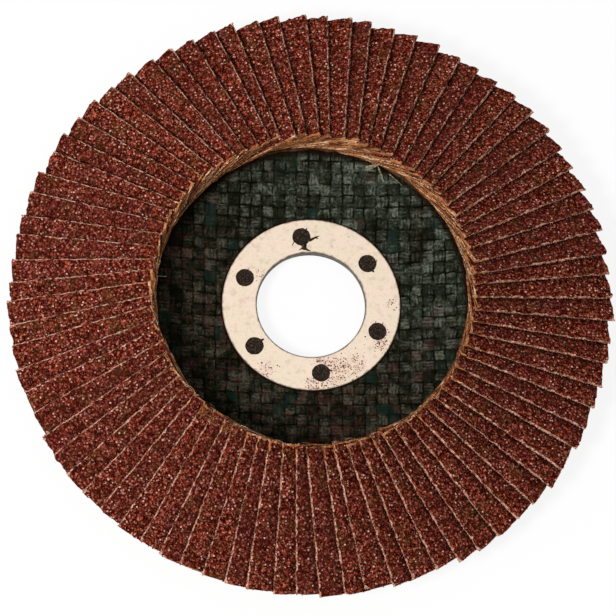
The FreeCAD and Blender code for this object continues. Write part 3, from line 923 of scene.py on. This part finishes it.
def spaced(outline, spacing_at):
    """Adds points along a closed outline, as close as spacing_at(radius, height) asks."""
    made = []
    for start, end in zip(outline, outline[1:] + outline[:1]):
        length = math.dist(start, end)
        middle = ((start[0] + end[0]) / 2, (start[1] + end[1]) / 2)
        steps = max(1, math.ceil(length / spacing_at(*middle)))
        for step in range(steps):
            share = step / steps
            made.append((start[0] + (end[0] - start[0]) * share, start[1] + (end[1] - start[1]) * share))
    return np.array(made)


def weave_relief(x, y, pitch):
    """Height from 0 to 1 of a coarse plain weave."""
    x = x + 0.25 * pitch * np.sin(y / (3.1 * pitch) + 0.7) + 0.1 * pitch * np.sin(y / (0.9 * pitch) + 2.0)
    y = y + 0.22 * pitch * np.sin(x / (3.7 * pitch) + 1.9) + 0.1 * pitch * np.sin(x / (1.1 * pitch))
    column, row = np.floor(x / pitch), np.floor(y / pitch)
    u, v = x / pitch - column - 0.5, y / pitch - row - 0.5
    upright = (column + row) % 2 == 0
    across, along = np.where(upright, u, v), np.where(upright, v, u)
    crown = np.sqrt(np.clip(1 - (across / 0.5) ** 2, 0, 1))
    ribs = 1 + 0.16 * np.cos(across * 6 * math.pi)
    return crown * ribs * (0.35 + 0.65 * np.cos(along * math.pi))


class DISC_OT_plate(Operator):
    """Mould the backing plate, with the glass mesh in relief on its web and back"""

    bl_idname = "disc.mould_plate"
    bl_label = "Mould plate"

    def execute(self, context):
        scene = context.scene
        sizes = scene.plate_sizes
        drop = self.drop(sizes)
        rim_height = seat_height(sizes, sizes.rim_radius)
        bend, rim = sizes.press_radius, sizes.rim_round
        section = (
            (sizes.bore_radius, 0.0, 0),
            (sizes.ring_radius + sizes.hub_back_land, 0.0, bend),
            (sizes.crest_radius, sizes.crest_height - drop, bend),
            (sizes.rim_radius, rim_height - drop, rim),
            (sizes.rim_radius, rim_height, rim),
            (sizes.crest_radius, sizes.crest_height, bend),
            (sizes.ring_radius + sizes.hub_land, sizes.hub_thickness, bend),
            (sizes.ring_radius, sizes.hub_thickness, 0),
            (sizes.ring_radius, sizes.recess_floor, 0),
            (sizes.bore_radius, sizes.recess_floor, 0),
        )
        outline = rounded([corner[:2] for corner in section], [corner[2] for corner in section])
        covered = sizes.crest_radius + 1.5 * MM
        on_web, on_back, unseen = 0.34 * MM, 0.5 * MM, 4 * MM

        def spacing_at(radius, height):
            if height <= self.middle_height(sizes, radius):
                return on_back
            return on_web if sizes.ring_radius < radius < covered else unseen

        ring = spaced(outline, spacing_at)
        parts = MeshParts()
        parts.add(*self.turned_skin(ring, sizes, covered))
        material = laminate_finish(scene.finish_colours, sizes)
        parts.piece("moulded_plate", material, "laminate", ["backing_plate"], smooth=True)
        return {"FINISHED"}

    @staticmethod
    def drop(sizes):
        """Thickness of the annulus, straight down."""
        return sizes.thickness / math.cos(math.radians(sizes.seat_angle))

    def middle_height(self, sizes, radius):
        """Height halfway through the plate, which parts its face from its back."""
        drop = self.drop(sizes)
        if radius > sizes.crest_radius:
            return seat_height(sizes, radius) - drop / 2
        back_edge, face_edge = sizes.ring_radius + sizes.hub_back_land, sizes.ring_radius + sizes.hub_land
        back = np.interp(radius, [back_edge, sizes.crest_radius], [0, sizes.crest_height - drop])
        face = np.interp(radius, [face_edge, sizes.crest_radius], [sizes.hub_thickness, sizes.crest_height])
        return (back + face) / 2

    def turned_skin(self, ring, sizes, covered):
        """The section turned about the axis, with the mesh's relief along its normals."""
        run = np.roll(ring, -1, 0) - np.roll(ring, 1, 0)
        normal = np.stack([run[:, 1], -run[:, 0]], 1)
        normal /= np.linalg.norm(normal, axis=1)[:, None]
        angle = circle(PLATE_SEGMENTS)
        radius = ring[:, 0][:, None] * np.ones_like(angle)[None, :]
        x, y = radius * np.cos(angle), radius * np.sin(angle)
        relief = weave_relief(x, y, sizes.mesh_pitch) - 0.45
        middle = np.array([self.middle_height(sizes, r) for r in ring[:, 0]])
        on_face = ring[:, 1] > middle
        inner = np.where(on_face, sizes.ring_radius + 0.3 * MM, sizes.bore_radius + 0.6 * MM)
        outer = np.where(on_face, covered, sizes.rim_radius - 0.9 * MM)
        from_ends = np.clip(np.stack([ring[:, 0] - inner, outer - ring[:, 0]]) / (0.6 * MM), 0, 1)
        bearing = ~on_face & (ring[:, 0] < sizes.ring_radius + sizes.hub_back_land + 2.5 * MM)
        strength = from_ends.prod(0) * np.where(bearing, 0.35, 1.0)
        low = np.where(bearing, -0.6, -1.0)[:, None]
        push = np.maximum(relief, low) * strength[:, None] * sizes.mesh_relief
        push = np.where(bearing[:, None], np.minimum(push, 0), push)
        x = x + normal[:, 0][:, None] * push * np.cos(angle)
        y = y + normal[:, 0][:, None] * push * np.sin(angle)
        z = ring[:, 1][:, None] + normal[:, 1][:, None] * push
        points = np.stack([x, y, z], -1).reshape(-1, 3)
        return points, quads(len(ring), PLATE_SEGMENTS, closed=True)


# Smears of resin on the ring's face: start and end in millimetres, width at each.
RESIN_SMEARS = (
    ((-0.6, 13.7), (1.75, 14.85), 0.75, 0.22), ((0.8, 14.5), (1.5, 14.25), 0.4, 0.14),
    ((-1.5, 13.3), (-1.3, 11.7), 1.5, 0.9), ((-1.5, 12.3), (-0.1, 11.4), 0.6, 0.25),
    ((-1.8, 12.2), (-2.5, 11.6), 0.45, 0.16), ((-3.4, 13.7), (-4.0, 12.5), 0.3, 0.1),
    ((-1.2, 15.7), (-0.85, 16.5), 0.5, 0.18), ((13.4, 9.3), (13.6, 10.0), 0.22, 0.08),
    ((12.5, 7.9), (12.9, 7.1), 0.8, 0.3), ((-10.5, -8.0), (-9.6, -7.5), 0.8, 0.25),
    ((-12.0, -10.2), (-12.4, -10.9), 0.6, 0.2), ((3.4, -13.9), (4.4, -14.1), 0.5, 0.2),
    ((2.2, -16.1), (2.4, -16.5), 0.35, 0.12), ((13.3, -3.9), (13.2, -3.3), 0.25, 0.08),
    ((14.6, -4.1), (14.8, -3.5), 0.2, 0.08), ((-13.2, 7.1), (-12.7, 7.6), 0.2, 0.08),
    ((4.28, 12.62), (4.36, 12.6), 0.3, 0.3), ((7.7, 14.65), (7.78, 14.7), 0.22, 0.2),
)


def hole_centres(sizes):
    """Middles of the ring's holes."""
    angle = math.radians(sizes.hole_phase) + circle(sizes.hole_count)
    return np.stack([np.cos(angle), np.sin(angle)], 1) * sizes.hole_circle


class DISC_OT_plugs(Operator):
    """Fill the ring's holes with ragged dark resin, and smear some of it on the ring's face"""

    bl_idname = "disc.fill_holes"
    bl_label = "Fill ring holes"

    def execute(self, context):
        scene = context.scene
        sizes, plate = scene.ring_sizes, scene.plate_sizes
        rng = np.random.default_rng(11)
        parts = MeshParts()
        for centre in hole_centres(sizes):
            parts.add(*self.plug(centre, sizes, plate, rng))
        for start, end, first, last in RESIN_SMEARS:
            parts.add(*self.smear(start, end, first, last, sizes, rng))
        material = plug_finish(scene.finish_colours)
        parts.piece("resin_plugs", material, "laminate", ["backing_plate"], smooth=True)
        return {"FINISHED"}

    @staticmethod
    def plug(centre, sizes, plate, rng):
        """A lumpy plug whose ragged edge lies over the edge of the hole."""
        sides = 56
        angle = circle(sides)
        ragged = np.abs(smooth_ring(rng, sides, 17, 1.0)) * 0.7 + np.abs(smooth_ring(rng, sides, 31, 0.5))
        flash = sizes.hole_radius + sizes.flash_width * (0.15 + ragged)
        top = sizes.face_height
        sunk = top - sizes.plug_sink
        rings = []
        for share in (0.12, 0.3, 0.48, 0.66, 0.84):
            lump = rng.uniform(-0.07, 0.09, sides) * MM
            rings.append((np.full(sides, share * sizes.hole_radius), sunk + lump))
        brim = top + rng.uniform(-0.03, 0.06, sides) * MM
        rings.append((np.full(sides, sizes.hole_radius * 0.97), brim))
        rings.append(((flash + sizes.hole_radius) / 2, top + rng.uniform(0.03, 0.09, sides) * MM))
        rings.append((flash, np.full(sides, top - 0.02 * MM)))
        for height in (top - 0.12 * MM, plate.recess_floor):
            rings.append((np.full(sides, sizes.hole_radius * 0.96), np.full(sides, height)))
        points = [(centre[0], centre[1], sunk)]
        for radius, height in rings:
            x, y = centre[0] + radius * np.cos(angle), centre[1] + radius * np.sin(angle)
            points += list(zip(x, y, height))
        points.append((centre[0], centre[1], plate.recess_floor))
        faces = [(0, 1 + side, 1 + (side + 1) % sides) for side in range(sides)]
        faces += quads(len(rings), sides, start=1, inward=True)
        last, final = 1 + (len(rings) - 1) * sides, len(points) - 1
        faces += [(final, last + (side + 1) % sides, last + side) for side in range(sides)]
        return points, faces

    @staticmethod
    def smear(start, end, first, last, sizes, rng):
        """A thin ragged flake on the ring's face."""
        steps = 9
        share = np.linspace(0, 1, steps)
        spine = np.outer(1 - share, start) + np.outer(share, end)
        spine += smooth_random(rng, share * 4, 1.2, 0.06)[:, None]
        run = np.subtract(end, start)
        side = np.array([-run[1], run[0]]) / np.linalg.norm(run)
        half = (first + (last - first) * share) / 2
        half = half * np.sqrt(np.clip(1 - np.abs(share * 2 - 1) ** 6, 0.03, 1))
        points = []
        profile = ((-1.0, -0.02), (-0.55, 0.06), (0.0, 0.1), (0.55, 0.06), (1.0, -0.02))
        for line, lift in profile:
            waver = line + smooth_random(rng, share * 9, 1.0, 0.3) * (abs(line) > 0.5)
            flat = spine + side[None, :] * (half * waver)[:, None]
            height = sizes.face_height + (lift + rng.uniform(-0.01, 0.02, steps)) * MM
            points += [(x * MM, y * MM, z) for (x, y), z in zip(flat, height)]
        low = sizes.face_height - 0.04 * MM
        points += [(x * MM, y * MM, low) for x, y in spine]
        lines = len(profile) + 1
        faces = quads(lines, steps, closed=True, ring=False)
        faces.append(tuple(line * steps for line in range(lines)))
        faces.append(tuple(line * steps + steps - 1 for line in reversed(range(lines))))
        return points, faces


def give_finish(node, material):
    """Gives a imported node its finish."""
    node.data.materials.clear()
    node.data.materials.append(material)


def smooth_ring(rng, sides, knots, height):
    """Random values that join up round a circle."""
    values = rng.uniform(-height, height, knots)
    share = np.arange(sides) * knots / sides
    index = share.astype(int)
    part = share - index
    return values[index] * (1 - part) + values[(index + 1) % knots] * part


class DISC_OT_ring(Operator):
    """Coat the centre ring, and scatter loose grit on it"""

    bl_idname = "disc.coat_ring"
    bl_label = "Coat centre ring"

    def execute(self, context):
        scene = context.scene
        sizes, plate = scene.ring_sizes, scene.plate_sizes
        give_finish(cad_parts["centre_ring"], ring_finish(scene.finish_colours, sizes))
        rng = np.random.default_rng(5)
        grit = MeshParts()
        for left, up, radius, strength in RING_STAINS:
            for _ in range(int(GRAINS_PER_STAIN * strength * radius)):
                spot = rng.normal((left, up), radius * 0.55)
                on_ring = sizes.bore_radius / MM + 0.5 < np.hypot(*spot) < plate.ring_radius / MM - 0.2
                to_hole = np.linalg.norm(spot - hole_centres(sizes) / MM, axis=1).min()
                if on_ring and to_hole >= sizes.hole_radius / MM + 0.2:
                    grit.add(*self.grain(spot * MM, sizes.face_height, rng.uniform(0.05, 0.18) * MM, rng))
        rust = thread_finish("grit", (0.27, 0.08, 0.05), (0.08, 0.024, 0.014))
        grit.piece("loose_grit", rust, "abrasive_cloth")
        return {"FINISHED"}

    @staticmethod
    def grain(spot, height, size, rng):
        """One angular grain, sunk a little in what it lies on."""
        sides = 5
        angles = rng.uniform(0, math.pi) + circle(sides)
        points = [(*spot, height + size * 0.9), (*spot, height - size * 0.3)]
        for angle in angles:
            x, y = spot + size * rng.uniform(0.7, 1.2) * np.array([math.cos(angle), math.sin(angle)])
            points.append((x, y, height + size * rng.uniform(0.05, 0.4)))
        faces = []
        for side in range(sides):
            here, following = 2 + side, 2 + (side + 1) % sides
            faces.append((0, here, following))
            faces.append((1, following, here))
        return points, faces


class DISC_OT_adhesive(Operator):
    """Finish the adhesive, with a lumpy bead along the flaps' inner ends and at the plate's rim"""

    bl_idname = "disc.run_adhesive"
    bl_label = "Run adhesive"

    def execute(self, context):
        scene = context.scene
        plate = scene.plate_sizes
        material = adhesive_finish(scene.finish_colours)
        give_finish(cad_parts["adhesive_ring"], material)
        rng = np.random.default_rng(3)
        parts = MeshParts()
        inner, outer = plate.crest_radius + 0.75 * MM, plate.rim_radius - 0.35 * MM
        parts.add(*self.bead(inner, plate.crest_height, 0.38 * MM, rng))
        parts.add(*self.bead(outer, seat_height(plate, outer) + 0.35 * MM, 0.4 * MM, rng))
        parts.piece("adhesive_beads", material, "adhesive", smooth=True)
        return {"FINISHED"}

    @staticmethod
    def bead(radius, height, thick, rng):
        """A lumpy bead round the disc."""
        sides, segments = 8, BEAD_SEGMENTS
        swell = 1 + smooth_ring(rng, segments, 90, 0.35) + smooth_ring(rng, segments, 210, 0.25)
        sway = smooth_ring(rng, segments, 60, 0.16) * MM
        swell, sway, turn = (item[:, None] for item in (thick * swell, sway, circle(segments)))
        angle = circle(sides)[None, :]
        out = radius + sway + swell * np.cos(angle)
        points = np.stack([out * np.cos(turn), out * np.sin(turn), height + swell * np.sin(angle)], -1)
        return points.reshape(-1, 3), quads(segments, sides, closed=True, inward=True)


# Loose yarns: bundle start and end on the disc in millimetres, strands, spread, strand radius.
LOOSE_YARNS = (
    ((14.4, 29.6, 7.4), (11.35, 28.8, 6.5), 6, 0.34, 0.075),
    ((14.3, 29.5, 7.2), (11.9, 29.6, 7.0), 3, 0.25, 0.07),
    ((13.6, 28.8, 7.2), (14.9, 25.9, 5.4), 3, 0.22, 0.075),
    ((15.8, 27.6, 6.4), (18.5, 25.3, 6.0), 2, 0.16, 0.07),
    ((-32.8, 4.4, 7.0), (-29.8, 4.8, 5.6), 2, 0.12, 0.07),
)
# Patches of orange fluff: centre on the disc in millimetres, reach, fibres.
FLUFF = (
    ((-22.2, -26.4, 14.0), 1.3, 34),
    ((-20.7, -28.0, 13.9), 0.9, 22),
    ((-17.6, -29.5, 13.9), 0.9, 34),
    ((-16.2, -30.0, 13.9), 0.6, 16),
)


class DISC_OT_loose_yarns(Operator):
    """Lay the loose yarns that hang from the flaps' inner ends over the web"""

    bl_idname = "disc.lay_loose_yarns"
    bl_label = "Lay loose yarns"

    def execute(self, context):
        rng = np.random.default_rng(17)
        loose, fluff = MeshParts(), MeshParts()
        for bundle in LOOSE_YARNS:
            self.strands(loose, bundle, rng)
        for centre, reach, count in FLUFF:
            for _ in range(count):
                self.curl(fluff, np.array(centre) + rng.normal(0, 0.45, 3) * (reach, reach, 0.3), rng)
        straw = thread_finish("loose_yarn", (0.5, 0.42, 0.27), (0.13, 0.11, 0.045))
        loose.piece("loose_yarns", straw, "abrasive_cloth")
        fluff.piece("orange_fluff", yarn_finish(), "abrasive_cloth", smooth=True)
        return {"FINISHED"}

    @staticmethod
    def curl(parts, centre, rng):
        """One short, curled fibre."""
        turn = rng.uniform(0, 2 * math.pi)
        angle = turn + np.linspace(0, rng.uniform(1.0, 3.2), 7)
        size = rng.uniform(0.15, 0.5)
        rise = rng.uniform(-0.4, 0.4) * (angle - turn)
        line = centre + np.stack([np.cos(angle), np.sin(angle), rise], 1) * size
        parts.add_tinted(*tube(line * MM, rng.uniform(0.03, 0.055) * MM, 4), rng.uniform(0.35, 0.75))

    @staticmethod
    def strands(parts, bundle, rng):
        """A bundle of bowed strands."""
        start, end, strands, spread, radius = bundle
        for _ in range(strands):
            first = np.array(start) + rng.normal(0, spread * 0.3, 3)
            last = np.array(end) + rng.normal(0, spread, 3) * (1, 1, 0.25)
            middle = (first + last) / 2 + rng.normal(0, spread * 0.6, 3) * (1, 1, 0.4)
            share = np.linspace(0, 1, 10)[:, None]
            line = first * (1 - share) ** 2 + middle * 2 * share * (1 - share) + last * share ** 2
            parts.add_tinted(*tube(line * MM, radius * rng.uniform(0.6, 1.1) * MM, 5), rng.uniform(0.45, 0.9))


class DISC_OT_stage(Operator):
    """Set the pale floor, the soft light and the camera"""

    bl_idname = "disc.set_stage"
    bl_label = "Set stage"

    def execute(self, context):
        scene = context.scene
        settings = scene.stage_settings
        self.floor(scene)
        self.room(scene, settings)
        self.lamp(scene, "key", (-0.59, -0.38, 0.8), 0.3, settings.key_power)
        self.lamp(scene, "fill", (0.55, 0.45, 0.9), 0.8, settings.fill_power)
        self.camera(scene, settings)
        scene.view_settings.view_transform = "Standard"
        return {"FINISHED"}

    @staticmethod
    def floor(scene):
        """A white floor that keeps a faint shadow."""
        half = 1.5
        mesh = bpy.data.meshes.new("floor")
        corners = [(-half, -half, 0), (half, -half, 0), (half, half, 0), (-half, half, 0)]
        mesh.from_pydata(corners, [], [(0, 1, 2, 3)])
        floor = bpy.data.objects.new("floor", mesh)
        floor.location.z = -0.05 * MM
        scene.collection.objects.link(floor)
        material = bpy.data.materials.new("floor")
        nodes = Nodes(material)
        paper = nodes.node("ShaderNodeBsdfDiffuse", (0.9, 0.9, 0.9)).outputs[0]
        glow = nodes.node("ShaderNodeEmission", (1, 1, 1), 1.0).outputs[0]
        rays = nodes.node("ShaderNodeLightPath").outputs
        seen = nodes.math("MAXIMUM", rays["Is Camera Ray"], rays["Is Glossy Ray"])
        blend = nodes.node("ShaderNodeMixShader", seen * 0.88, paper, glow)
        nodes.node("ShaderNodeOutputMaterial", blend.outputs[0])
        mesh.materials.append(material)

    @staticmethod
    def room(scene, settings):
        """Even light all round, and pure white where the camera sees past the floor."""
        world = bpy.data.worlds.new("room")
        scene.world = world
        nodes = Nodes(world)
        light = nodes.node("ShaderNodeBackground", (1, 1, 1), settings.room_light).outputs[0]
        white = nodes.node("ShaderNodeBackground", (1, 1, 1), 1.0).outputs[0]
        rays = nodes.node("ShaderNodeLightPath").outputs
        blend = nodes.node("ShaderNodeMixShader", rays["Is Camera Ray"], light, white)
        nodes.node("ShaderNodeOutputWorld", blend.outputs[0])

    @staticmethod
    def lamp(scene, name, place, size, power):
        """A soft square lamp aimed at the disc."""
        light = bpy.data.lights.new(name, "AREA")
        light.size = size
        light.energy = power
        lamp = bpy.data.objects.new(name, light)
        lamp.location = place
        lamp.rotation_euler = (-Vector(place)).to_track_quat("-Z", "Y").to_euler()
        scene.collection.objects.link(lamp)

    @staticmethod
    def camera(scene, settings):
        """The photograph's view."""
        data = bpy.data.cameras.new("camera")
        data.lens = settings.lens
        data.sensor_width = 36
        data.shift_x = -0.0051
        data.shift_y = -0.0056
        camera = bpy.data.objects.new("camera", data)
        place, target = Vector(settings.camera_place), Vector(settings.camera_target)
        back = (place - target).normalized()
        right = Vector((0, 1, 0)).cross(back).normalized()
        turn = Matrix((right, back.cross(right), back)).transposed()
        camera.matrix_world = Matrix.LocRotScale(place, turn, None)
        scene.collection.objects.link(camera)
        scene.camera = camera


class DISC_PT_panel(Panel):
    """Lists the steps that dress the disc, with their sizes"""

    bl_idname = "DISC_PT_panel"
    bl_label = "Flap disc"
    bl_space_type = "VIEW_3D"
    bl_region_type = "UI"
    bl_category = "Flap disc"

    def draw(self, context):
        for operator in OPERATORS:
            self.layout.operator(operator.bl_idname)
        for name in GROUPS:
            group = getattr(context.scene, name)
            box = self.layout.box()
            box.label(text=name.replace("_", " ").capitalize())
            for key in group.bl_rna.properties.keys():
                if key not in ("rna_type", "name"):
                    box.prop(group, key)


GROUPS = {
    "flap_sizes": FlapSizes,
    "plate_sizes": PlateSizes,
    "ring_sizes": RingSizes,
    "finish_colours": FinishColours,
    "stage_settings": StageSettings,
}
OPERATORS = (
    DISC_OT_plate, DISC_OT_plugs, DISC_OT_ring, DISC_OT_adhesive, DISC_OT_flaps, DISC_OT_yarn_ends,
    DISC_OT_loose_yarns, DISC_OT_stage,
)
CLASSES = (*GROUPS.values(), *OPERATORS, DISC_PT_panel)


def register():
    for item in CLASSES:
        bpy.utils.register_class(item)
    for name, group in GROUPS.items():
        setattr(bpy.types.Scene, name, PointerProperty(type=group))


def unregister():
    for name in GROUPS:
        delattr(bpy.types.Scene, name)
    for item in reversed(CLASSES):
        bpy.utils.unregister_class(item)


def main():
    register()
    for operator in OPERATORS:
        space, name = operator.bl_idname.split(".")
        getattr(getattr(bpy.ops, space), name)()


if __name__ == "__main__":
    main()
